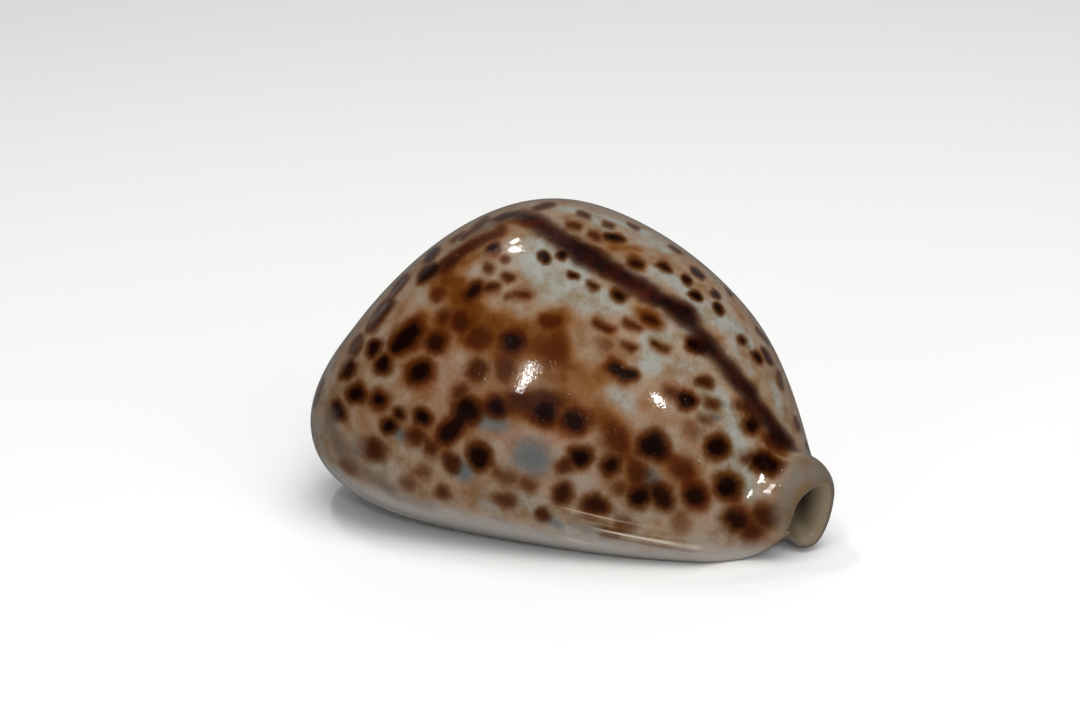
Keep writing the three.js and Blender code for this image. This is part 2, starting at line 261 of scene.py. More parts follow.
def placed(x, outline):
    """Stations and outlines as points in millimetres, with the leaning rims, about the part's origin."""
    y = outline[..., 0]
    z = outline[..., 1]
    x = np.repeat(x[:, None], y.shape[1], 1)
    anterior = smooth_step((x - ANTERIOR_LEAN_FROM) / ANTERIOR_LEAN_RUN)
    posterior = smooth_step((POSTERIOR_LEAN_FROM - x) / POSTERIOR_LEAN_RUN)
    tilt = (ANTERIOR_LEAN - ANTERIOR_TWIST * y) * (z - ANTERIOR_LEAN_HEIGHT)
    skew = ANTERIOR_SKEW * (y - ANTERIOR_LEAN_HEIGHT)
    back = POSTERIOR_LEAN * (z - POSTERIOR_LEAN_HEIGHT)
    x = x + anterior * (tilt + skew) + posterior * back
    return np.stack([x + CENTRE_X, y + CENTRE_Y, z], -1)


def stations():
    rim = np.sin(np.arange(RIM_STEPS, 0, -1) * math.pi / 2 / RIM_STEPS)
    tooth_steps = round((TEETH_TO - TEETH_FROM) / TOOTH_PITCH * STATIONS_PER_TOOTH)
    return np.concatenate([
        POSTERIOR_X + POSTERIOR_RIM * (1 - rim),
        np.linspace(POSTERIOR_X + POSTERIOR_RIM, TEETH_FROM, POSTERIOR_STEPS, endpoint=False),
        np.linspace(TEETH_FROM, TEETH_TO, tooth_steps, endpoint=False),
        np.linspace(TEETH_TO, ANTERIOR_X - ANTERIOR_RIM, ANTERIOR_STEPS + 1),
        (ANTERIOR_X - ANTERIOR_RIM * (1 - rim))[::-1],
    ])


def join_columns(a, b, faces):
    """Triangles between two columns of (station, vertex), always stepping along the one that lags."""
    i = j = 0
    while i < len(a) - 1 or j < len(b) - 1:
        if j == len(b) - 1 or (i < len(a) - 1 and a[i + 1][0] <= b[j + 1][0]):
            faces.append((a[i][1], a[i + 1][1], b[j][1]))
            i += 1
        else:
            faces.append((a[i][1], b[j + 1][1], b[j][1]))
            j += 1


def outer_faces(number):
    """The squares of the outside's net, whose vertices are numbered by station and column."""
    rows, columns = number.shape
    faces = []
    for column in range(columns - 1):
        for i in range(rows - 1):
            corners = (i, column), (i + 1, column), (i + 1, column + 1), (i, column + 1)
            faces.append(tuple(number[corner] for corner in corners))
    return faces


def inner_rows(count):
    """The stations that the inside keeps where it has no teeth."""
    rim = list(range(RIM_STEPS + 1))
    snout = count - RIM_STEPS - ANTERIOR_STEPS
    rows = rim + list(range(RIM_STEPS + INNER_STATION_STRIDE, snout, INNER_STATION_STRIDE))
    rows += list(range(snout, count - RIM_STEPS - 2, INNER_SNOUT_STRIDE))
    return rows + [count - 1 - row for row in reversed(rim)]


def inner_columns(columns):
    """The columns that the inside keeps, from the near lip over the crown to the far one."""
    lip = list(range(1, LIP_STEPS + FLAT_STEPS + 1))
    half = (columns - 1) // 2
    arc = list(range(LIP_STEPS + FLAT_STEPS + INNER_COLUMN_STRIDE, half - 1, INNER_COLUMN_STRIDE))
    near = [0] + lip + arc
    return near + [half] + [columns - 1 - column for column in reversed(near)]


def inner_members(inner, number, column, points):
    """A column of the inside as (station, vertex). Its new vertices are added to the points."""
    count, columns = number.shape
    if column in (0, columns - 1):
        return [(i, number[i, column]) for i in range(count)]
    toothed = min(column, columns - 1 - column) <= LIP_STEPS // 2
    members = []
    for i in range(count) if toothed else inner_rows(count):
        if i in (0, count - 1):
            members.append((i, number[i, column]))
        else:
            members.append((i, len(points)))
            points.append(inner[i, column])
    return members


def shell_net():
    """All vertices in millimetres, the faces, and the grid of the outside, whose vertices come first."""
    x = stations()
    outer = whole_outline(x, False)
    inner = whole_outline(x, True)
    middle = (outer + inner) / 2
    share = rim_share(x)[:, None, None]
    outer = with_facets(placed(x, middle + (outer - middle) * share))
    inner = placed(x, middle + (inner - middle) * share)
    count, columns = outer.shape[:2]
    points = list(outer.reshape(-1, 3))
    number = np.arange(count * columns).reshape(count, columns)
    faces = outer_faces(number)
    used = inner_columns(columns)
    members = [inner_members(inner, number, column, points) for column in used]
    for k in range(len(used) - 1):
        join_columns(members[k + 1], members[k], faces)
        for column in range(used[k] + 1, used[k + 1]):
            faces.append((number[0, used[k]], number[0, column], number[0, column + 1]))
            faces.append((number[-1, used[k]], number[-1, column + 1], number[-1, column]))
    return np.array(points), faces, outer


# The camera stands where the photograph was taken from: millimetres and degrees
PHOTO_WIDTH = 1080
PHOTO_HEIGHT = 721
FOCAL_PIXELS = 2830
SENSOR_MM = 36
VIEW_AZIMUTH = 34
VIEW_ELEVATION = 17
VIEW_ROLL = -1.2
VIEW_DISTANCE = 420
VIEW_TARGET = (CENTRE_X, CENTRE_Y, 20)
# Where that target lies in the photograph; the camera is aimed so that no lens shift is needed
TARGET_PIXEL = (579, 382)


def camera_axes():
    """The camera's place in millimetres and its right, up and backward directions."""
    a, e = math.radians(VIEW_AZIMUTH), math.radians(VIEW_ELEVATION)
    back = Vector((math.sin(a) * math.cos(e), -math.cos(a) * math.cos(e), math.sin(e)))
    place = Vector(VIEW_TARGET) + back * VIEW_DISTANCE
    right = Vector((0, 0, 1)).cross(back).normalized()
    up = back.cross(right)
    turn = Matrix.Rotation(math.radians(VIEW_ROLL), 3, back)
    right, up = turn @ right, turn @ up
    per_pixel = VIEW_DISTANCE / FOCAL_PIXELS
    aside = (PHOTO_WIDTH / 2 - TARGET_PIXEL[0]) * per_pixel
    above = (TARGET_PIXEL[1] - PHOTO_HEIGHT / 2) * per_pixel
    aim = Vector(VIEW_TARGET) + right * aside + up * above
    back = (place - aim).normalized()
    right = (right - back * right.dot(back)).normalized()
    return place, right, back.cross(right), back


def photo_pixels(points):
    """Where points in millimetres fall in the photograph."""
    place, right, up, back = (np.array(v) for v in camera_axes())
    offset = points - place
    depth = -(offset @ back)
    u = PHOTO_WIDTH / 2 + FOCAL_PIXELS * (offset @ right) / depth
    v = PHOTO_HEIGHT / 2 - FOCAL_PIXELS * (offset @ up) / depth
    return u, v


# Markings read from the photograph, as places in its pixels.
# Sizes are in pixels too: 6.74 pixels are a millimetre at the shell's distance.
PIXELS_PER_MM = FOCAL_PIXELS / VIEW_DISTANCE

# Dark spots: from x, y to x, y, radius, darkness, and width of the brown halo round it
SPOTS = [
    (395, 348, 416, 328, 9, 1.0, 8), (430, 345, 440, 339, 7, 0.85, 8), (370, 353, 377, 343, 6, 0.9, 5),
    (381, 369, 386, 360, 7, 0.95, 6), (345, 377, 352, 363, 5, 0.85, 5), (354, 397, 358, 391, 8, 1.0, 7),
    (377, 402, 379, 397, 6.5, 0.95, 8), (416, 376, 426, 368, 10, 1.0, 9), (337, 405, 339, 417, 5, 0.9, 6),
    (396, 414, 400, 415, 5, 0.85, 6), (385, 424, 391, 428, 6.5, 0.95, 6),
    (419, 418, 425, 416, 7.5, 0.95, 6), (413, 434, 417, 440, 6, 0.65, 9),
    (463, 409, 472, 414, 11.5, 1.0, 8), (443, 438, 463, 418, 8, 0.92, 7), (371, 328, 390, 300, 5, 0.76, 5),
    (394, 292, 406, 276, 4.5, 0.72, 4), (421, 278, 435, 267, 5.5, 0.9, 5),
    (427, 261, 436, 249, 5.5, 0.8, 4), (443, 268, 460, 255, 2.8, 0.75, 5),
    (467, 296, 481, 286, 4.4, 0.9, 6), (459, 325, 464, 321, 6, 0.75, 8), (442, 319, 447, 315, 4, 0.6, 7),
    (435, 298, 438, 293, 3.4, 0.4, 6), (315, 405, 323, 382, 3, 0.4, 3), (353, 352, 360, 338, 5, 0.6, 4),
    (459, 395, 463, 389, 5, 0.55, 8), (369, 448, 377, 455, 8, 0.68, 8), (345, 463, 351, 470, 4.5, 0.28, 6),
    (427, 446, 433, 449, 4.5, 0.6, 8), (448, 457, 455, 464, 6.5, 0.7, 6),
    (420, 470, 425, 474, 3.6, 0.34, 6), (404, 482, 410, 486, 3.6, 0.34, 7),
    (418, 434, 432, 446, 2.6, 0.5, 5), (440, 489, 447, 494, 4, 0.5, 6), (476, 450, 483, 466, 9.5, 0.9, 7),
    (489, 249, 496, 248, 4.2, 0.9, 5), (500, 228, 502, 231, 3, 0.5, 5), (486, 268, 491, 267, 3.2, 0.6, 5),
    (503, 277, 511, 277, 3, 0.65, 5), (486, 289, 497, 288, 2.4, 0.75, 5), (503, 260, 508, 260, 2.4, 0.5, 3),
    (508, 296, 514, 296, 1.8, 0.4, 4), (514, 295, 528, 294, 2.0, 0.6, 6), (540, 256, 548, 258, 4.2, 1.0, 3),
    (560, 255, 564, 257, 3.6, 0.95, 3), (569, 273, 577, 277, 2.8, 0.85, 3),
    (588, 284, 597, 288, 2.6, 0.8, 4), (543, 319, 556, 323, 2.2, 0.65, 6),
    (596, 323, 613, 330, 1.8, 0.75, 5), (509, 342, 515, 341, 9.5, 1.0, 6),
    (579, 213, 588, 216, 2.2, 0.75, 4), (567, 224, 581, 226, 1.8, 0.55, 4),
    (605, 223, 613, 226, 2, 0.75, 4), (591, 234, 599, 237, 3, 0.6, 5), (607, 236, 621, 239, 3.4, 0.95, 4),
    (536, 208, 552, 204, 3.4, 0.7, 4), (474, 341, 484, 337, 6, 0.65, 9), (473, 373, 480, 366, 7, 0.7, 9),
    (541, 411, 550, 413, 11.5, 1.0, 8), (512, 401, 556, 402, 8, 0.74, 10),
    (571, 421, 577, 421, 10, 0.92, 9), (493, 406, 499, 407, 8.5, 0.95, 7),
    (546, 350, 556, 346, 7, 0.22, 12), (613, 437, 620, 443, 8, 0.5, 11), (608, 464, 612, 465, 8, 0.88, 8),
    (577, 458, 584, 456, 9, 0.95, 7), (563, 468, 569, 464, 5.5, 0.6, 7), (503, 375, 509, 364, 6, 0.5, 9),
    (500, 475, 513, 479, 4, 0.4, 7), (522, 481, 531, 489, 3.6, 0.4, 7), (500, 497, 511, 502, 5, 0.5, 7),
    (561, 492, 566, 494, 8, 0.78, 7), (587, 503, 603, 507, 7.5, 0.8, 8), (617, 487, 622, 492, 4, 0.4, 8),
    (615, 293, 624, 298, 3.8, 0.9, 5), (644, 317, 658, 324, 2.8, 0.85, 7),
    (624, 322, 641, 328, 1.5, 0.65, 5), (624, 345, 634, 349, 2.2, 0.75, 5),
    (652, 343, 668, 350, 2.3, 0.8, 5), (611, 366, 621, 371, 6, 0.95, 7), (620, 373, 635, 376, 5.4, 1.0, 5),
    (699, 382, 711, 384, 3.8, 0.75, 5), (688, 343, 703, 347, 5.4, 0.95, 4),
    (692, 292, 699, 298, 4, 0.95, 3), (684, 277, 690, 283, 3.2, 0.9, 3), (692, 269, 703, 277, 3.4, 0.95, 3),
    (660, 264, 668, 269, 3, 0.9, 4), (630, 261, 642, 265, 3.6, 0.85, 5), (630, 224, 638, 229, 2.2, 0.7, 3),
    (671, 246, 679, 252, 2.2, 0.75, 4), (667, 237, 684, 246, 1.8, 0.5, 3), (712, 291, 718, 297, 3, 0.9, 3),
    (727, 290, 731, 295, 2.4, 0.75, 3), (716, 306, 722, 312, 3.2, 0.95, 3),
    (741, 339, 745, 343, 2.8, 0.85, 4), (753, 352, 760, 360, 3, 0.9, 4), (763, 348, 771, 362, 3.2, 0.85, 3),
    (757, 329, 768, 343, 2.4, 0.55, 3), (702, 262, 706, 267, 2.6, 0.4, 4),
    (778, 373, 783, 387, 2.8, 0.6, 4), (680, 396, 691, 404, 7.5, 0.95, 6), (669, 391, 678, 394, 4, 0.55, 7),
    (708, 402, 714, 404, 3.8, 0.6, 6), (702, 418, 709, 420, 3.2, 0.45, 7),
    (648, 443, 659, 449, 12.5, 1.0, 8), (716, 446, 719, 449, 10.5, 1.0, 7),
    (726, 487, 728, 487, 10.5, 1.0, 9), (681, 471, 687, 469, 7, 0.5, 11),
    (693, 494, 698, 497, 9.5, 0.88, 10), (635, 498, 646, 496, 9, 0.92, 9),
    (656, 490, 666, 503, 8.5, 0.85, 8), (636, 468, 641, 476, 6.5, 0.6, 9),
    (680, 520, 683, 526, 5.5, 0.2, 8), (732, 518, 742, 522, 9, 0.85, 10), (746, 528, 758, 533, 7, 0.55, 11),
    (763, 514, 770, 519, 9, 0.7, 9), (749, 423, 755, 425, 7, 0.92, 7), (738, 405, 750, 411, 2.8, 0.6, 6),
    (756, 459, 776, 466, 10, 1.0, 6), (745, 459, 760, 456, 3.4, 0.6, 7), (620, 525, 630, 527, 4.5, 0.25, 7),
    (604, 533, 617, 534, 3.6, 0.3, 6), (795, 418, 798, 430, 2.6, 0.55, 4),
    (773, 438, 781, 448, 5.5, 0.7, 7), (453, 241, 462, 234, 1.8, 0.5, 4), (476, 227, 486, 217, 3, 0.4, 4),
    (539, 513, 547, 518, 4, 0.6, 5), (600, 341, 607, 347, 4, 0.2, 6), (691, 428, 695, 434, 4, 0.2, 8),
    (496, 233, 473, 247, 2.2, 0.55, 4), (474, 246, 450, 258, 2.8, 0.65, 4), (452, 257, 436, 271, 3, 0.6, 4),
    (488, 219, 462, 239, 1.8, 0.5, 3), (513, 214, 496, 219, 2, 0.6, 3),
]

# Faint blue-grey spots that lie deeper in the shell: from x, y to x, y, radius, strength
GHOSTS = [
    (529, 457, 534, 459, 18, 0.85), (484, 423, 502, 425, 9, 0.7), (397, 431, 401, 436, 7, 0.75),
    (352, 447, 356, 452, 6, 0.5), (327, 414, 327, 431, 3, 0.5), (458, 469, 464, 471, 10, 0.95),
    (384, 487, 396, 490, 6, 0.5), (412, 508, 428, 513, 5, 0.4), (495, 519, 512, 526, 5, 0.45),
    (541, 512, 547, 517, 4.5, 0.8), (550, 520, 558, 525, 7, 0.7), (570, 523, 576, 526, 5, 0.5),
    (584, 528, 596, 529, 6, 0.5), (616, 512, 622, 518, 8, 0.45), (649, 476, 653, 481, 9, 0.8),
    (719, 402, 722, 404, 4, 0.5), (715, 417, 718, 418, 4, 0.6), (706, 322, 711, 330, 3, 0.4),
    (672, 505, 677, 509, 5, 0.4), (664, 272, 668, 275, 3, 0.25), (350, 352, 358, 340, 4, 0.3),
]

# The dark line along the back: x, y, half width, darkness, redness
MANTLE_LINE = [
    (441, 268, 6.0, 0.06, 0.8), (454, 254, 10.0, 0.16, 1.0), (471, 237, 12.0, 0.26, 1.0),
    (487, 226, 10.0, 0.36, 1.0), (500, 218, 9.0, 0.58, 0.8), (516, 214, 7.0, 0.8, 0.5),
    (532, 219, 7.5, 0.85, 0.9), (548, 230, 8.5, 0.9, 0.5), (563, 240, 9.0, 0.95, 0.2),
    (583, 253, 11.5, 1.0, 0.1), (602, 264, 10.0, 0.95, 0.6), (622, 276, 9.5, 1.0, 0.3),
    (645, 290, 8.5, 0.92, 0.7), (663, 301, 8.5, 0.97, 0.3), (684, 313, 10.5, 1.0, 0.0),
    (696, 329, 6.5, 0.85, 0.4), (707, 344, 8.0, 0.97, 0.1), (722, 361, 7.0, 0.88, 0.5),
    (737, 379, 8.5, 0.95, 0.2), (748, 392, 8.0, 0.95, 0.1), (760, 409, 7.5, 0.88, 0.5),
    (775, 429, 8.5, 0.92, 0.3), (789, 444, 7.0, 0.85, 0.1),
]

# Ochre and brown clouds: from x, y to x, y, radius, strength
CLOUDS = [
    (446, 270, 466, 250, 16, 0.7), (474, 240, 498, 234, 15, 0.7), (398, 290, 430, 256, 9, 0.6),
    (372, 322, 392, 296, 10, 0.6), (340, 372, 366, 330, 8, 0.5), (395, 352, 440, 340, 18, 0.55),
    (350, 390, 384, 400, 14, 0.5), (410, 376, 422, 384, 17, 0.6), (444, 434, 474, 412, 20, 0.65),
    (496, 403, 580, 420, 19, 0.78), (446, 276, 458, 284, 14, 0.95), (440, 290, 456, 296, 12, 0.9),
    (462, 304, 474, 308, 13, 0.9), (432, 286, 436, 300, 6, 0.6), (422, 318, 440, 330, 15, 0.75),
    (455, 316, 468, 326, 14, 0.85), (478, 316, 505, 322, 14, 0.8), (480, 336, 500, 332, 14, 0.8),
    (462, 338, 478, 346, 13, 0.7), (496, 350, 502, 374, 13, 0.8), (410, 324, 424, 318, 9, 0.6),
    (402, 304, 412, 296, 10, 0.45), (466, 262, 480, 254, 9, 0.65), (484, 240, 498, 236, 8, 0.5),
    (486, 254, 500, 256, 6, 0.45), (520, 331, 548, 325, 15, 0.85), (557, 318, 563, 344, 14, 0.88),
    (538, 346, 556, 354, 14, 0.85), (512, 356, 524, 352, 12, 0.8), (546, 372, 562, 376, 15, 0.8),
    (584, 382, 594, 384, 12, 0.6), (562, 396, 574, 400, 11, 0.6), (562, 362, 578, 368, 12, 0.6),
    (598, 376, 606, 364, 10, 0.5), (612, 428, 622, 446, 14, 0.95), (594, 416, 606, 424, 13, 0.65),
    (632, 430, 640, 434, 9, 0.4), (600, 400, 608, 412, 10, 0.5), (632, 460, 640, 476, 13, 0.9),
    (664, 454, 674, 460, 9, 0.85), (676, 467, 688, 472, 13, 0.9), (622, 490, 630, 486, 9, 0.6),
    (690, 484, 702, 500, 13, 0.8), (640, 484, 664, 490, 10, 0.5), (612, 248, 636, 249, 11, 0.75),
    (638, 310, 654, 313, 9, 0.75), (644, 318, 656, 324, 6, 0.5), (732, 304, 742, 317, 7, 0.6),
    (736, 500, 740, 512, 9, 0.55), (744, 520, 752, 532, 13, 0.85), (764, 438, 771, 444, 9, 0.85),
    (756, 446, 760, 452, 6, 0.5), (506, 222, 542, 226, 9, 0.8), (600, 372, 622, 384, 12, 0.5),
    (568, 308, 574, 320, 8, 0.45), (690, 424, 694, 434, 9, 0.45), (698, 376, 708, 380, 6, 0.4),
    (670, 254, 690, 257, 6, 0.35), (698, 262, 707, 268, 5, 0.35), (644, 404, 676, 420, 11, 0.4),
    (362, 418, 368, 428, 10, 0.5), (404, 428, 414, 438, 11, 0.55), (424, 420, 442, 444, 11, 0.5),
    (482, 407, 530, 411, 13, 0.55), (540, 424, 570, 428, 9, 0.4), (452, 400, 462, 390, 8, 0.45),
    (612, 356, 622, 362, 9, 0.5), (566, 500, 600, 516, 9, 0.35), (672, 386, 690, 392, 8, 0.35),
    (374, 408, 384, 412, 9, 0.5), (470, 436, 494, 470, 12, 0.4), (560, 280, 568, 270, 6, 0.2),
    (580, 288, 590, 291, 5, 0.35), (502, 292, 528, 302, 7, 0.3), (590, 318, 612, 336, 9, 0.3),
]

# Pinkish tan ground: from x, y to x, y, radius, strength
BLUSHES = [
    (440, 350, 454, 372, 14, 0.95), (428, 394, 454, 388, 15, 0.9), (400, 388, 410, 391, 11, 0.6),
    (474, 392, 486, 398, 12, 0.8), (500, 432, 522, 444, 15, 0.95), (550, 436, 572, 440, 13, 0.9),
    (588, 430, 596, 446, 9, 0.7), (404, 308, 414, 318, 10, 0.6), (436, 250, 440, 262, 5, 0.8),
    (545, 468, 562, 480, 14, 0.6), (590, 486, 602, 478, 12, 0.4), (672, 372, 686, 378, 10, 0.5),
    (716, 330, 746, 378, 6, 0.4), (690, 512, 708, 520, 13, 0.5), (640, 400, 650, 412, 8, 0.4),
]

# Pale blue-white ground: from x, y to x, y, radius, strength
PALES = [
    (536, 262, 566, 292, 22, 0.9), (530, 240, 548, 247, 8, 0.8), (580, 296, 604, 306, 14, 0.7),
    (650, 362, 674, 370, 13, 0.9), (646, 338, 668, 336, 9, 0.9), (712, 392, 728, 412, 12, 0.9),
    (700, 436, 706, 404, 8, 0.6), (734, 428, 740, 470, 13, 1.0), (688, 330, 694, 340, 9, 0.9),
    (560, 208, 640, 230, 9, 0.8), (588, 218, 610, 232, 7, 0.8), (650, 236, 664, 250, 9, 0.8),
    (660, 272, 712, 312, 12, 0.95), (706, 316, 744, 336, 9, 0.6), (730, 322, 750, 344, 9, 0.9),
    (574, 262, 584, 268, 7, 0.8), (604, 296, 622, 308, 8, 0.7), (616, 392, 630, 404, 11, 0.75),
    (744, 484, 752, 494, 11, 0.8), (768, 366, 778, 400, 7, 0.5), (476, 270, 486, 276, 8, 0.35),
    (566, 262, 596, 294, 8, 0.6), (520, 470, 540, 466, 8, 0.3), (640, 510, 664, 514, 9, 0.4),
    (686, 370, 704, 388, 10, 0.7), (722, 330, 752, 374, 8, 0.5), (766, 372, 784, 412, 8, 0.5),
    (514, 500, 548, 512, 12, 0.65), (556, 526, 604, 543, 11, 0.6), (480, 502, 494, 508, 10, 0.4),
    (562, 476, 586, 482, 9, 0.5), (724, 466, 742, 470, 9, 0.5),
]

# Painted shade, grey, over the posterior end: from x, y to x, y, radius, strength
SHADE_PATCHES = [
    (330, 420, 340, 446, 16, 0.75), (352, 462, 384, 484, 15, 0.6), (356, 436, 362, 446, 10, 0.5),
    (398, 498, 430, 508, 12, 0.45), (322, 392, 326, 404, 7, 0.4), (412, 486, 420, 492, 9, 0.3),
    (372, 320, 384, 306, 5, 0.6), (392, 294, 404, 280, 5, 0.6), (344, 364, 358, 344, 8, 0.5),
    (370, 328, 384, 308, 8, 0.4), (478, 486, 490, 500, 12, 0.3),
]

# Where painted highlight streaks, with painted shade between them, lie along the base: from x, y to x, y,
# radius, strength
HIGHLIGHT_STREAKS = [
    (572, 510, 600, 522, 9, 0.7), (606, 530, 660, 545, 12, 0.9), (664, 546, 694, 550, 7, 0.6),
    (548, 495, 560, 501, 5, 0.6), (570, 538, 600, 545, 8, 0.4),
]

# Where the neck of the spout is a little flat, so that a lamp shows in its polish:
# from x, y to x, y, half width in pixels, and the lamp
FACETS = [
    (749, 495, 762, 476, 2.8, "small_right"),
    (764, 492, 778, 486, 2.6, "small_front"),
]
# Width of the blend round a flat, and the most that it takes off, in millimetres
FACET_BLEND = 0.9
FACET_DEPTH = 0.6


class Picker:
    """Finds the point of the visible surface under a pixel of the photograph."""

    # Vertices looked at round a pixel, and the depth in millimetres past which they are on another fold
    AROUND = 40
    DEEPER = 6.0
    # Vertices that the point is a mean of, and what keeps a very near one from taking it all
    NEAREST = 4
    SOFTENING = 0.05
    LEAST_FACING = 0.5

    def __init__(self, points, normals):
        self.place = np.array(camera_axes()[0])
        facing = ((self.place - points) * normals).sum(1) > 0
        self.points = points[facing]
        self.normals = normals[facing]
        self.depth = np.linalg.norm(self.points - self.place, axis=1)
        self.u, self.v = photo_pixels(self.points)

    def point(self, u, v):
        gap = (self.u - u) ** 2 + (self.v - v) ** 2
        around = np.argpartition(gap, self.AROUND)[:self.AROUND]
        front = around[self.depth[around] < self.depth[around].min() + self.DEEPER]
        nearest = front[np.argsort(gap[front])[:self.NEAREST]]
        weight = 1 / (gap[nearest] + self.SOFTENING)
        return (self.points[nearest] * weight[:, None]).sum(0) / weight.sum()

    def slant(self, at):
        """The map that shortens what the photograph sees aslant at a point, down to LEAST_FACING."""
        normal = self.normals[np.argmin(((self.points - at) ** 2).sum(1))]
        sight = (self.place - at) / np.linalg.norm(self.place - at)
        facing = sight @ normal
        away = sight - facing * normal
        away /= max(np.linalg.norm(away), 1e-9)
        return np.eye(3) - (1 - max(facing, self.LEAST_FACING)) * np.outer(away, away)


def capsule(points, start, end, start_radius, end_radius):
    """Signed depth inside a capsule, in millimetres, and the share of the way along it."""
    along = end - start
    length = max(float(along @ along), 1e-9)
    share = np.clip((points - start) @ along / length, 0, 1)
    nearest = start + share[:, None] * along
    radius = start_radius + (end_radius - start_radius) * share
    return radius - np.linalg.norm(points - nearest, axis=1), share


# Spots on the sides that the photograph doesn't show are strewn with a fixed seed.
# Lengths are in millimetres, and pairs are the least and the most that is drawn.
SEED = 7
HIDDEN_COSINE = 0.03
STREWN_TRIES = 5000
STREWN_LEAST_UP = -0.55
STREWN_LOWEST = 2.5
STREWN_GAP = 2.0
STREWN_GAP_CHANGE = (0.5, 1.5)
# Low down the spots are larger and rounder
LOW_FROM = 30
LOW_RUN = 22
STREWN_RADIUS = 0.6
STREWN_RADIUS_GROWTH = 0.8
STREWN_RADIUS_CHANGE = (0.6, 1.3)
STREWN_STRETCH = (0, 0.9)
STREWN_STRETCH_HIGH = 1.4
STREWN_TURN = 0.3
STREWN_HALO = (0.6, 1.3)
STREWN_DARK_SHARE = 0.75
STREWN_DARK = (0.8, 1.0)
STREWN_FAINT = (0.3, 0.6)
# Room that they leave beside the dark line
LINE_ROOM = 2.0
# Strewn patches of ground: how many, radius, strength
STREWN_CLOUDS = (44, (1.4, 3.0), (0.35, 0.9))
STREWN_BLUSHES = (12, (2, 3.5), (0.4, 0.8))
STREWN_PALES = (22, (1.8, 3.6), (0.6, 0.95))
STREWN_PATCH_LOWEST = 5
# Strewn faint spots: how many, and the radius, soft edge and strength of each
STREWN_GHOSTS = 6
STREWN_GHOST = (1.0, 0.7, 0.5)

# The glaze over the base, up to a height that falls towards the spout, and the thinner one that
# reaches higher at the posterior end
VEIL_TOP = 9.0
VEIL_TOP_SLOPE = -0.11
VEIL_DEPTH = 6.5
END_VEIL_FROM = -31.0
END_VEIL_RUN = 9.0
END_VEIL_TOP = 24.0
END_VEIL_DEPTH = 10
END_VEIL = 0.4
# The plain spout: where it begins along the shell, and up to what height
SNOUT_FROM = 35.8
SNOUT_RUN = 3.0
SNOUT_TOP = 19
SNOUT_DEPTH = 4

# Waves that bend the outlines of the spots and of the line: height, radians per millimetre, start
SLOW_WAVE = (0.16, 1.7, 1.0)
QUICK_WAVE = (0.07, 3.3, 0.0)

# Millimetres over which a spot's edge fades: a part of its radius and of its halo's width, and a least
SOFT_LEAST = 0.22
SOFT_OF_RADIUS = 0.55
SOFT_OF_HALO = 0.16
# Ends of a long spot: moved in by this share of its radius, or at most by this share of its length,
# and narrower by this share
ENDS_IN = 0.35
ENDS_IN_MOST = 0.45
ENDS_NARROWER = 0.22
# Reach of a halo, as a multiple of its width, and its strength round the faintest spot
HALO_REACH = 1.5
HALO_LEAST = 0.55
# Millimetres over which the line's edge fades, and how far from it its colour is still told
LINE_REACH = 1.6
LINE_FARTHEST = 9.0


def strewn_spots(points, normals, hidden, taken, rng):
    """Seeded spots on the hidden sides: start, end, radius, darkness, halo's width and no slant."""
    found = []
    high_enough = (normals[:, 2] > STREWN_LEAST_UP) & (points[:, 2] > STREWN_LOWEST)
    candidates = np.flatnonzero(hidden & high_enough)
    centres = [t[0] for t in taken]
    radii = [t[1] for t in taken]
    for _ in range(STREWN_TRIES):
        at = points[rng.choice(candidates)]
        low = smooth_step((LOW_FROM - at[2]) / LOW_RUN)
        radius = (STREWN_RADIUS + STREWN_RADIUS_GROWTH * low) * rng.uniform(*STREWN_RADIUS_CHANGE)
        gap = np.linalg.norm(np.array(centres) - at, axis=1) - np.array(radii) - radius
        if gap.min() < STREWN_GAP * rng.uniform(*STREWN_GAP_CHANGE):
            continue
        darkness = rng.uniform(*(STREWN_DARK if rng.random() < STREWN_DARK_SHARE else STREWN_FAINT))
        stretch = rng.uniform(*STREWN_STRETCH) * (STREWN_STRETCH_HIGH - low)
        centres.append(at)
        radii.append(radius)
        found.append((at, stretch, radius, darkness, rng.uniform(*STREWN_HALO)))
    spots = []
    for at, stretch, radius, darkness, halo in found:
        along = np.array([stretch, rng.uniform(-STREWN_TURN, STREWN_TURN) * stretch, 0])
        spots.append((at - along, at + along, radius, darkness, halo, np.eye(3)))
    return spots


def spot_depth(points, start, end, radius):
    """Signed depth inside a rounded spot that narrows towards its ends."""
    along = end - start
    length = max(np.linalg.norm(along), 1e-9)
    inset = along / length * min(ENDS_IN * radius, ENDS_IN_MOST * length)
    depth, share = capsule(points, start + inset, end - inset, radius, radius)
    slender = min(length / (2 * radius), 1)
    return depth - ENDS_NARROWER * slender * radius * (2 * share - 1) ** 2


def spot_fields(points, spots):
    """How far in a spot's fading edge a point is, its darkness, how far in the halo, and its strength."""
    core = np.zeros(len(points))
    darkness = np.zeros(len(points))
    shown = np.zeros(len(points))
    halo = np.zeros(len(points))
    strength = np.zeros(len(points))
    for start, end, radius, dark, width, slant in spots:
        depth = spot_depth(points @ slant, start @ slant, end @ slant, radius)
        inside = centred(depth, SOFT_LEAST + SOFT_OF_RADIUS * radius + SOFT_OF_HALO * width)
        cover = smooth_step(inside) * dark
        core = np.where(cover > shown, inside, core)
        darkness = np.where(cover > shown, dark, darkness)
        shown = np.maximum(shown, cover)
        ring = np.clip(1 + depth / (HALO_REACH * width), 0, 1)
        strength = np.where(ring > halo, HALO_LEAST + (1 - HALO_LEAST) * dark, strength)
        halo = np.maximum(halo, ring)
    return core, darkness, halo, strength


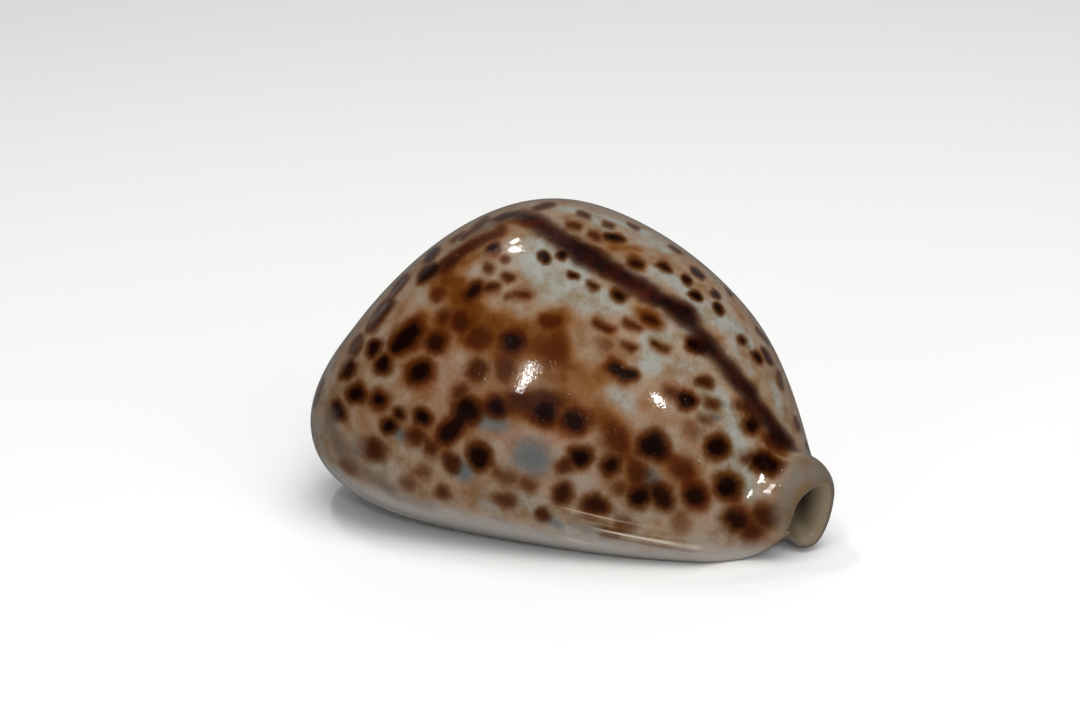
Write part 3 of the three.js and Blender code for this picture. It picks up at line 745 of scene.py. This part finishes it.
def line_fields(points, line):
    """Signed depth inside the line along the back, in millimetres, its darkness and its redness."""
    depth = np.full(len(points), -LINE_FARTHEST)
    darkness = np.zeros(len(points))
    redness = np.zeros(len(points))
    for (a, wa, da, ra), (b, wb, db, rb) in zip(line, line[1:]):
        inside, share = capsule(points, a, b, wa, wb)
        nearer = inside > depth
        darkness = np.where(nearer, da + (db - da) * share, darkness)
        redness = np.where(nearer, ra + (rb - ra) * share, redness)
        depth = np.maximum(depth, inside)
    return depth, darkness, redness


def soft_patches(points, patches):
    """Soft patches along short lines, one over another: start, end, radius in millimetres, strength."""
    amount = np.zeros(len(points))
    for start, end, radius, strength in patches:
        gap = capsule(points, start, end, 0, 0)[0] / radius
        amount = 1 - (1 - amount) * (1 - strength * np.exp(-(gap**2)))
    return amount


def centred(depth, reach):
    """A signed depth as 0 to 1, with the edge at a half."""
    return np.clip(0.5 + depth / (2 * reach), 0, 1)


def from_photo(picker, patches):
    """Patches given in the photograph's pixels, on the shell."""
    return [
        (picker.point(x0, y0), picker.point(x1, y1), radius / PIXELS_PER_MM, strength)
        for x0, y0, x1, y1, radius, strength in patches
    ]


def spots_from_photo(picker):
    """The dark spots on the shell: start, end, radius, darkness, halo's width and slant."""
    spots = []
    for x0, y0, x1, y1, radius, dark, halo in SPOTS:
        start, end = picker.point(x0, y0), picker.point(x1, y1)
        slant = picker.slant((start + end) / 2)
        spots.append((start, end, radius / PIXELS_PER_MM, dark, halo / PIXELS_PER_MM, slant))
    return spots


def strewn_patches(centres, kind, rng):
    """Round patches at the next centres, as many, as large and as strong as their kind says."""
    count, radii, strengths = kind
    return [(at, at, rng.uniform(*radii), rng.uniform(*strengths)) for at in islice(centres, count)]


def faint_spots(points, spots):
    """Strength of the faint spots at the points: start, end, radius, soft edge, strength."""
    shown = np.zeros(len(points))
    for start, end, radius, soft, strength in spots:
        depth, _ = capsule(points, start, end, radius, radius)
        shown = np.maximum(shown, strength * smooth_step(centred(depth, soft)))
    return shown


def veil_field(points):
    """Strength of the glaze over the base and the posterior end."""
    x, _, z = points.T
    base = smooth_step((VEIL_TOP + VEIL_TOP_SLOPE * x - z) / VEIL_DEPTH)
    end = smooth_step((END_VEIL_FROM - x) / END_VEIL_RUN) * smooth_step((END_VEIL_TOP - z) / END_VEIL_DEPTH)
    return np.maximum(base, END_VEIL * end)


def snout_field(points):
    """1 on the spout, which has no markings, and 0 behind it."""
    x, _, z = points.T
    return smooth_step((x - CENTRE_X - SNOUT_FROM) / SNOUT_RUN) * smooth_step((SNOUT_TOP - z) / SNOUT_DEPTH)


def vertex_normals(grid):
    along = np.gradient(grid, axis=0)
    around = np.gradient(grid, axis=1)
    normal = np.cross(along, around)
    length = np.linalg.norm(normal, axis=-1, keepdims=True)
    return (normal / np.maximum(length, 1e-9)).reshape(-1, 3)


def lamp_place(name):
    """Where a small lamp stands, in millimetres."""
    direction, distance = next(light[1:3] for light in SMALL_LIGHTS if light[0] == name)
    away = np.array(direction) / np.linalg.norm(direction)
    return np.array(LIT_POINT) / MM + away * distance / MM


def with_facets(grid):
    """The outside with small flats that turn a lamp's light towards the camera."""
    points = grid.reshape(-1, 3)
    picker = Picker(points, vertex_normals(grid))
    moved = points.copy()
    for x0, y0, x1, y1, half_width, lamp in FACETS:
        start, end = picker.point(x0, y0), picker.point(x1, y1)
        centre = (start + end) / 2
        to_lamp = lamp_place(lamp) - centre
        to_camera = picker.place - centre
        facing = to_lamp / np.linalg.norm(to_lamp) + to_camera / np.linalg.norm(to_camera)
        facing /= np.linalg.norm(facing)
        gap = -capsule(points, start, end, 0, 0)[0] - half_width / PIXELS_PER_MM
        height = np.clip((centre - moved) @ facing, -FACET_DEPTH, FACET_DEPTH)
        moved += ((1 - smooth_step(gap / FACET_BLEND)) * height)[:, None] * facing
    return moved.reshape(grid.shape)


def unseen_from_camera(points, normals):
    """Whether the surface at each point faces away from the camera, or is seen only edge on."""
    to_camera = np.array(camera_axes()[0]) - points
    to_camera /= np.linalg.norm(to_camera, axis=1)[:, None]
    return (to_camera * normals).sum(1) < HIDDEN_COSINE


def bent(points):
    """The points moved a little by two waves, so that outlines drawn round them aren't plain circles."""
    moved = points
    for (height, rate, start), order in ((SLOW_WAVE, [1, 2, 0]), (QUICK_WAVE, [2, 0, 1])):
        moved = moved + height * np.sin(points[:, order] * rate + start)
    return moved


def all_spots(picker, points, normals, hidden, line, rng):
    """The spots of the photograph and the strewn ones, which keep clear of them and of the line."""
    spots = spots_from_photo(picker)
    taken = [((start + end) / 2, radius) for start, end, radius, _, _, _ in spots]
    taken += [(point, LINE_ROOM) for point, _, _, _ in line]
    return spots + strewn_spots(points, normals, hidden, taken, rng)


def ground_fields(picker, points, hidden, rng):
    """Strengths of the ochre clouds, the pinkish ground, the pale ground and the faint spots."""
    unseen = np.flatnonzero(hidden & (points[:, 2] > STREWN_PATCH_LOWEST))
    kinds = (CLOUDS, STREWN_CLOUDS), (BLUSHES, STREWN_BLUSHES), (PALES, STREWN_PALES)
    count = sum(strewn[0] for _, strewn in kinds) + STREWN_GHOSTS
    centres = iter(points[rng.choice(unseen, count, replace=False)])
    fields = [
        soft_patches(points, from_photo(picker, seen) + strewn_patches(centres, strewn, rng))
        for seen, strewn in kinds
    ]
    ghosts = [(*ends, radius, radius, strength) for *ends, radius, strength in from_photo(picker, GHOSTS)]
    ghosts += [(at, at, *STREWN_GHOST) for at in centres]
    return *fields, faint_spots(points, ghosts)


def markings(grid):
    """The fields of every marking at the vertices of the outside, as columns of four."""
    rng = np.random.default_rng(SEED)
    points = grid.reshape(-1, 3)
    normals = vertex_normals(grid)
    hidden = unseen_from_camera(points, normals)
    picker = Picker(points, normals)
    line = [
        (picker.point(x, y), width / PIXELS_PER_MM, dark, red) for x, y, width, dark, red in MANTLE_LINE
    ]
    spots = all_spots(picker, points, normals, hidden, line, rng)
    clouds, blushes, pales, ghosts = ground_fields(picker, points, hidden, rng)
    line_depth, line_dark, line_red = line_fields(bent(points), line)
    # Painted shade over the posterior end
    painted_shade_field = soft_patches(points, from_photo(picker, SHADE_PATCHES))
    streak_mask = soft_patches(points, from_photo(picker, HIGHLIGHT_STREAKS))
    outside = np.zeros(len(points))
    return {
        "marks": spot_fields(bent(points), spots),
        "trails": (centred(line_depth, LINE_REACH), line_dark, line_red, ghosts),
        "grounds": (clouds, blushes, pales, veil_field(points)),
        # The third and fourth places are painted shade and painted highlight streaks
        "places": (snout_field(points), outside, painted_shade_field, streak_mask),
    }


def shell_object():
    """The shell's mesh, with the markings as attributes. The second of the places is 1 in the hollow."""
    points, faces, outer = shell_net()
    mesh = bpy.data.meshes.new(PIECE)
    mesh.from_pydata(np.clip(points * MM, *CAD_BOX).tolist(), [], faces)
    mesh.polygons.foreach_set("use_smooth", [True] * len(mesh.polygons))
    outside = outer.shape[0] * outer.shape[1]
    for name, columns in markings(outer).items():
        values = np.zeros((len(points), 4), np.float32)
        values[:outside] = np.stack(columns, 1)
        if name == "places":
            values[outside:, 1] = 1
        attribute = mesh.attributes.new(name, "FLOAT_COLOR", "POINT")
        attribute.data.foreach_set("color", values.ravel())
    mesh.validate()
    mesh.update()
    piece = bpy.data.objects.new(PIECE, mesh)
    bpy.context.scene.collection.objects.link(piece)
    return piece


# Colours, as they look on a screen, 0 to 255
PALE = (148, 149, 142)
TAN = (146, 120, 95)
OCHRE_LIGHT = (124, 78, 28)
OCHRE_DARK = (82, 36, 3)
BLUSH = (146, 112, 90)
GHOST = (92, 95, 95)
SPOT_BROWN = (64, 26, 4)
SPOT_HEART = (17, 2, 0)
LINE_DARK = (20, 7, 6)
LINE_RED = (74, 22, 12)
VEIL = (176, 172, 168)
# Painted shade over the posterior end
PAINTED_SHADE = (98, 86, 78)
# Painted highlight of the streaks along the base, and painted shade between them
PAINTED_GLINT = (214, 200, 180)
PAINTED_STREAK_SHADE = (206, 200, 196)
SNOUT = (104, 97, 89)
SNOUT_WARM = (104, 80, 52)
# The inside's tan, darkened as painted shade in the hollow
HOLLOW_PAINTED_SHADE = (126, 112, 92)
# Thin pigments, which darken what is under them
STAIN_TINT = (220, 192, 158)
HALO_TINT = (184, 130, 60)
FRINGE_TINT = (150, 118, 102)
FINE_TINT = (244, 243, 242)

# Noises: millimetres across a bump, detail, roughness, seed
COARSE = (5.0, 4, 0.5, 0.0)
MOTTLE = (2.2, 4, 0.5, 0.3)
BLOTCHY = (3.2, 5, 0.6, 0.2)
RAGGED = (0.9, 3, 0.5, 0.7)
FINE = (0.35, 3, 0.5, 0.1)
STREAK_NOISE = (0.8, 1, 0.5, 0.4)
# Painted highlight streaks are a noise drawn out this many times, sinking by this slope towards the spout
STREAK_STRETCH = 26
STREAK_SLOPE = 0.2

# How far a noise frays a marking's edge, and the values at which the marking sets in and is full.
# CLOUD_DEPTH is for the darker ochre inside a cloud.
PALE_EDGE = (0.5, 0.05, 0.9)
CLOUD_EDGE = (0.5, 0.02, 0.95)
CLOUD_DEPTH = (0.5, 0.45, 1.15)
GHOST_EDGE = (0.4, 0.05, 0.9)
HALO_EDGE = (0.35, 0.0, 0.9)
SPOT_EDGE = (0.26, 0.0, 0.72)
HEART_EDGE = (0.2, 0.05, 0.86)
FRINGE_EDGE = (0.3, 0.0, 0.5)
LINE_EDGE = (0.3, 0.2, 0.75)
VEIL_EDGE = (0.2, 0.0, 1.0)
# The painted shade over the posterior end
PAINTED_SHADE_EDGE = (0.3, 0.05, 1.1)
# The values between which a noise or a spot's darkness goes from no effect to the full one
PALING = (0.3, 0.8)
STAINING = (0.38, 0.7)
BROWNING = (0.0, 0.7)
BLACKENING = (0.62, 0.96)
REDDENING = (0.35, 0.65)
# Where the noise makes a painted highlight streak, and painted shade between the streaks
GLINT_RANGE = (0.56, 0.66)
STREAK_SHADE_RANGE = (0.46, 0.38)
SPOUT_WARMING = (0.4, 0.6)
FINE_SHADING = (0.7, 0.3)
# The most that a colour covers what is under it
PALING_MOST = 0.55
BLUSH_MOST = 0.85
VEIL_MOST = 0.9
SNOUT_MOST = 0.9


def linear(colour):
    """A screen colour as the linear numbers that a node takes."""
    steps = [c / 255 for c in colour]
    return [s / 12.92 if s <= 0.04045 else ((s + 0.055) / 1.055) ** 2.4 for s in steps] + [1]


class Shader:
    """Short names for adding nodes to one material."""

    def __init__(self, name):
        self.material = bpy.data.materials.new(name)
        self.material.use_nodes = True
        self.tree = self.material.node_tree
        self.tree.nodes.clear()

    def add(self, kind, **settings):
        node = self.tree.nodes.new(kind)
        for key, value in settings.items():
            setattr(node, key, value)
        return node

    def put(self, socket, value):
        if isinstance(value, bpy.types.NodeSocket):
            self.tree.links.new(value, socket)
        else:
            socket.default_value = value

    def fields(self, name):
        """The four numbers of an attribute."""
        node = self.add("ShaderNodeAttribute", attribute_name=name)
        parts = self.add("ShaderNodeSeparateColor")
        self.put(parts.inputs[0], node.outputs["Color"])
        return [parts.outputs[0], parts.outputs[1], parts.outputs[2], node.outputs["Alpha"]]

    def maths(self, operation, a, b):
        node = self.add("ShaderNodeMath", operation=operation)
        self.put(node.inputs[0], a)
        self.put(node.inputs[1], b)
        return node.outputs[0]

    def product(self, a, b):
        return self.maths("MULTIPLY", a, b)

    def ramp(self, value, low, high, most=1.0):
        """0 up to low, the most from high on, and a smooth step between."""
        node = self.add("ShaderNodeMapRange", interpolation_type="SMOOTHSTEP")
        for socket, given in zip(node.inputs, (value, low, high, 0.0, most)):
            self.put(socket, given)
        return node.outputs[0]

    def place(self):
        return self.add("ShaderNodeTexCoord").outputs["Object"]

    def noise(self, size_mm, detail, rough, seed, place=None):
        """Noise from 0 to 1 whose bumps are about this many millimetres across."""
        shift = self.add("ShaderNodeVectorMath", operation="ADD")
        self.put(shift.inputs[0], place or self.place())
        self.put(shift.inputs[1], (seed, seed, seed))
        node = self.add("ShaderNodeTexNoise")
        self.put(node.inputs["Vector"], shift.outputs[0])
        node.inputs["Scale"].default_value = 1 / (size_mm * MM)
        node.inputs["Detail"].default_value = detail
        node.inputs["Roughness"].default_value = rough
        return node.outputs["Fac"]

    def glint_streak_noise(self):
        """Noise for the painted highlight streaks, drawn out along the shell, the same all the way across
        it.
        """
        place = self.place()
        drawn = self.add("ShaderNodeCombineXYZ")
        directions = (1 / STREAK_STRETCH, 0, 0), (0, 0, 0), (STREAK_SLOPE, 0, 1)
        for socket, direction in zip(drawn.inputs, directions):
            part = self.add("ShaderNodeVectorMath", operation="DOT_PRODUCT")
            self.put(part.inputs[0], place)
            self.put(part.inputs[1], direction)
            self.put(socket, part.outputs["Value"])
        return self.noise(*STREAK_NOISE, drawn.outputs[0])

    def edge(self, field, noise, fray, low, high):
        """How much of a marking shows, 0 to 1, from a field that a noise moves up and down."""
        frayed = self.maths("ADD", field, self.product(self.maths("SUBTRACT", noise, 0.5), fray))
        return self.ramp(frayed, low, high)

    def bump(self, height_mm, field, under=None):
        node = self.add("ShaderNodeBump")
        node.inputs["Distance"].default_value = height_mm * MM
        self.put(node.inputs["Height"], field)
        if under:
            self.put(node.inputs["Normal"], under)
        return node.outputs[0]

    def mix(self, amount, under, over, blend="MIX"):
        node = self.add("ShaderNodeMix", data_type="RGBA", blend_type=blend)
        self.put(node.inputs[0], amount)
        self.put(node.inputs[6], under)
        self.put(node.inputs[7], over)
        return node.outputs[2]


def ground_colour(s, coarse, mottle, ghost):
    """Tan and pale ground with pinkish places and stains, and the ochre clouds and faint spots on it."""
    cloud, blush, pale, _ = s.fields("grounds")
    colour = s.mix(s.ramp(coarse, *PALING, PALING_MOST), linear(TAN), linear(PALE))
    colour = s.mix(s.edge(pale, mottle, *PALE_EDGE), colour, linear(PALE))
    colour = s.mix(s.product(blush, BLUSH_MOST), colour, linear(BLUSH))
    colour = s.mix(s.ramp(s.noise(*BLOTCHY), *STAINING), colour, linear(STAIN_TINT), "MULTIPLY")
    ochre = s.mix(s.edge(cloud, mottle, *CLOUD_DEPTH), linear(OCHRE_LIGHT), linear(OCHRE_DARK))
    colour = s.mix(s.edge(cloud, mottle, *CLOUD_EDGE), colour, ochre)
    return s.mix(s.edge(ghost, mottle, *GHOST_EDGE), colour, linear(GHOST))


def with_spots(s, colour):
    """Spots with their darker hearts, and the halo that each casts on the ground."""
    core, darkness, halo, strength = s.fields("marks")
    ragged = s.noise(*RAGGED)
    haloed = s.product(s.edge(halo, ragged, *HALO_EDGE), strength)
    colour = s.mix(haloed, colour, linear(HALO_TINT), "MULTIPLY")
    blackness = s.product(s.edge(core, ragged, *HEART_EDGE), s.ramp(darkness, *BLACKENING))
    heart = s.mix(blackness, linear(SPOT_BROWN), linear(SPOT_HEART))
    spotted = s.product(s.edge(core, ragged, *SPOT_EDGE), s.ramp(darkness, *BROWNING))
    return s.mix(spotted, colour, heart)


def with_back_line(s, colour, mottle, line, line_dark, line_red):
    """The dark line along the back, red in places, and its fringe."""
    fringe = s.product(s.edge(line, mottle, *FRINGE_EDGE), line_dark)
    colour = s.mix(fringe, colour, linear(FRINGE_TINT), "MULTIPLY")
    streaky = s.product(line_red, s.ramp(mottle, *REDDENING))
    stripe = s.mix(streaky, linear(LINE_DARK), linear(LINE_RED))
    return s.mix(s.product(s.edge(line, mottle, *LINE_EDGE), line_dark), colour, stripe)


def with_base_and_ends(s, colour, coarse, mottle):
    """The glazed base, painted shade over the posterior end, painted highlight streaks along the base with
    painted shade between them, the plain spout and the hollow, darkened as painted shade.
    """
    snout, hollow, painted_shade_mask, streak_mask = s.fields("places")
    veil = s.fields("grounds")[3]
    glazed = s.product(s.edge(veil, mottle, *VEIL_EDGE), VEIL_MOST)
    colour = s.mix(glazed, colour, linear(VEIL))
    # Painted shade over the posterior end
    colour = s.mix(s.edge(painted_shade_mask, mottle, *PAINTED_SHADE_EDGE), colour, linear(PAINTED_SHADE))
    # Painted highlight streaks along the base, and painted shade between them
    streaks = s.glint_streak_noise()
    colour = s.mix(s.product(s.ramp(streaks, *GLINT_RANGE), streak_mask), colour, linear(PAINTED_GLINT))
    shaded = s.product(s.ramp(streaks, *STREAK_SHADE_RANGE), streak_mask)
    colour = s.mix(shaded, colour, linear(PAINTED_STREAK_SHADE), "MULTIPLY")
    spout = s.mix(s.ramp(coarse, *SPOUT_WARMING), linear(SNOUT), linear(SNOUT_WARM))
    colour = s.mix(s.product(snout, SNOUT_MOST), colour, spout)
    # Painted shade: the hollow darker than the inside's own colour
    return s.mix(hollow, colour, linear(HOLLOW_PAINTED_SHADE))


def shell_colour(s):
    """The ground, spots, line and glaze, laid over one another."""
    coarse = s.noise(*COARSE)
    mottle = s.noise(*MOTTLE)
    line, line_dark, line_red, ghost = s.fields("trails")
    colour = ground_colour(s, coarse, mottle, ghost)
    colour = with_spots(s, colour)
    colour = with_back_line(s, colour, mottle, line, line_dark, line_red)
    colour = with_base_and_ends(s, colour, coarse, mottle)
    return s.mix(s.ramp(s.noise(*FINE), *FINE_SHADING), colour, linear(FINE_TINT), "MULTIPLY")


# The polish: slow waves, a fine grain and sparse specks, as noises, and their heights in millimetres
SWELL = (4.5, 1, 0.5, 0.5)
GRAIN = (0.3, 2, 0.5, 0.9)
SPECKS = (0.28, 0, 0.5, 0.6)
SPECK_RISE = (0.58, 0.72)
SWELL_HEIGHT = 0.06
GRAIN_HEIGHT = 0.008
SPECK_HEIGHT = 0.012
SURFACE = {
    "Roughness": 0.35,
    "Specular IOR Level": 0.05,
    "Coat Weight": 1.0,
    "Coat Roughness": 0.035,
    "Coat IOR": 1.5,
}


def shell_material():
    s = Shader("polished_shell")
    surface = s.add("ShaderNodeBsdfPrincipled")
    s.put(surface.inputs["Base Color"], shell_colour(s))
    for name, value in SURFACE.items():
        surface.inputs[name].default_value = value
    swell = s.bump(SWELL_HEIGHT, s.noise(*SWELL))
    grain = s.bump(GRAIN_HEIGHT, s.noise(*GRAIN), swell)
    specks = s.bump(SPECK_HEIGHT, s.ramp(s.noise(*SPECKS), *SPECK_RISE), grain)
    s.put(surface.inputs["Coat Normal"], specks)
    out = s.add("ShaderNodeOutputMaterial")
    s.put(out.inputs["Surface"], surface.outputs[0])
    return s.material


FLOOR_COLOUR = (244, 244, 243)
FLOOR_ROUGHNESS = 0.9
FLOOR_HALF_WIDTH = 3.0


def plain_material(name, colour, roughness):
    material = bpy.data.materials.new(name)
    material.use_nodes = True
    surface = material.node_tree.nodes["Principled BSDF"]
    surface.inputs["Base Color"].default_value = linear(colour)
    surface.inputs["Roughness"].default_value = roughness
    return material


def lay_floor():
    mesh = bpy.data.meshes.new("floor")
    half = FLOOR_HALF_WIDTH
    corners = [(-half, -half, 0), (half, -half, 0), (half, half, 0), (-half, half, 0)]
    mesh.from_pydata(corners, [], [(0, 1, 2, 3)])
    mesh.materials.append(plain_material("pale_floor", FLOOR_COLOUR, FLOOR_ROUGHNESS))
    floor = bpy.data.objects.new("floor", mesh)
    floor.visible_glossy = False
    bpy.context.scene.collection.objects.link(floor)


# Lights: direction from the shell, distance, width and height in metres, turn in degrees, watts
SOFT_LIGHTS = [
    ("high_soft", (0.3, -0.15, 0.94), 0.95, 0.7, 0.7, 0, 7.0),
    ("front_soft", (0.85, -0.4, 0.5), 0.95, 0.7, 0.5, 0, 2.2),
    ("back_soft", (-0.5, 0.75, 0.5), 0.95, 0.7, 0.5, 0, 1.2),
]
# The small bright ones stand where the photograph's highlights reflect them
SMALL_LIGHTS = [
    ("small_high", (-0.375, 0.03, 0.92), 0.6, 0.03, 0.045, 0, 0.3),
    ("small_higher", (-0.44, 0.15, 0.89), 0.6, 0.035, 0.02, 0, 0.2),
    ("small_front", (0.02, -0.94, 0.33), 0.6, 0.009, 0.15, -16, 0.3),
    ("small_right", (0.588, -0.69, 0.422), 0.6, 0.045, 0.045, 0, 0.42),
]
LIT_POINT = (0.005, -0.01, 0.025)
# The surroundings light everything evenly but are dim in the gloss, as in the photograph
WORLD_STRENGTH = 0.2
WORLD_GLOSS_STRENGTH = 0.012
# A dim wall behind the shell, whose reflection brightens its glancing gloss
BACK_WALL = ("back_wall", (-0.56, 0.83, 0.0), 1.6, 3.2, 2.4, 0, 3.0)


def area_light(name, direction, distance, width, height, turn, watts, seen_in_gloss):
    data = bpy.data.lights.new(name, "AREA")
    data.shape = "RECTANGLE"
    data.size = width
    data.size_y = height
    data.energy = watts
    lamp = bpy.data.objects.new(name, data)
    bpy.context.scene.collection.objects.link(lamp)
    away = Vector(direction).normalized()
    lamp.location = Vector(LIT_POINT) + away * distance
    lamp.rotation_mode = "QUATERNION"
    aimed = (-away).to_track_quat("-Z", "Y")
    lamp.rotation_quaternion = aimed @ Quaternion((0, 0, 1), math.radians(turn))
    lamp.visible_glossy = seen_in_gloss


def light_scene():
    for light in SOFT_LIGHTS:
        area_light(*light, seen_in_gloss=False)
    for light in [*SMALL_LIGHTS, BACK_WALL]:
        area_light(*light, seen_in_gloss=True)
    world = bpy.data.worlds.new("studio")
    world.use_nodes = True
    nodes = world.node_tree.nodes
    background = nodes["Background"]
    background.inputs["Color"].default_value = (1, 1, 1, 1)
    rays = nodes.new("ShaderNodeLightPath")
    strength = nodes.new("ShaderNodeMapRange")
    strength.inputs["To Min"].default_value = WORLD_STRENGTH
    strength.inputs["To Max"].default_value = WORLD_GLOSS_STRENGTH
    world.node_tree.links.new(rays.outputs["Is Glossy Ray"], strength.inputs["Value"])
    world.node_tree.links.new(strength.outputs["Result"], background.inputs["Strength"])
    bpy.context.scene.world = world
    bpy.context.scene.view_settings.view_transform = "Standard"


def set_camera():
    place, right, up, back = camera_axes()
    data = bpy.data.cameras.new("camera")
    data.sensor_width = SENSOR_MM
    data.lens = FOCAL_PIXELS / PHOTO_WIDTH * SENSOR_MM
    data.clip_start = 0.01
    data.clip_end = 10
    camera = bpy.data.objects.new("camera", data)
    bpy.context.scene.collection.objects.link(camera)
    turn = Matrix((right, up, back)).transposed().to_4x4()
    camera.matrix_world = Matrix.Translation(place * MM) @ turn
    bpy.context.scene.camera = camera


set_camera()
surface = shell_object()
surface.data.materials.append(shell_material())
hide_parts(NODE)
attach(surface, "root")
lay_floor()
light_scene()
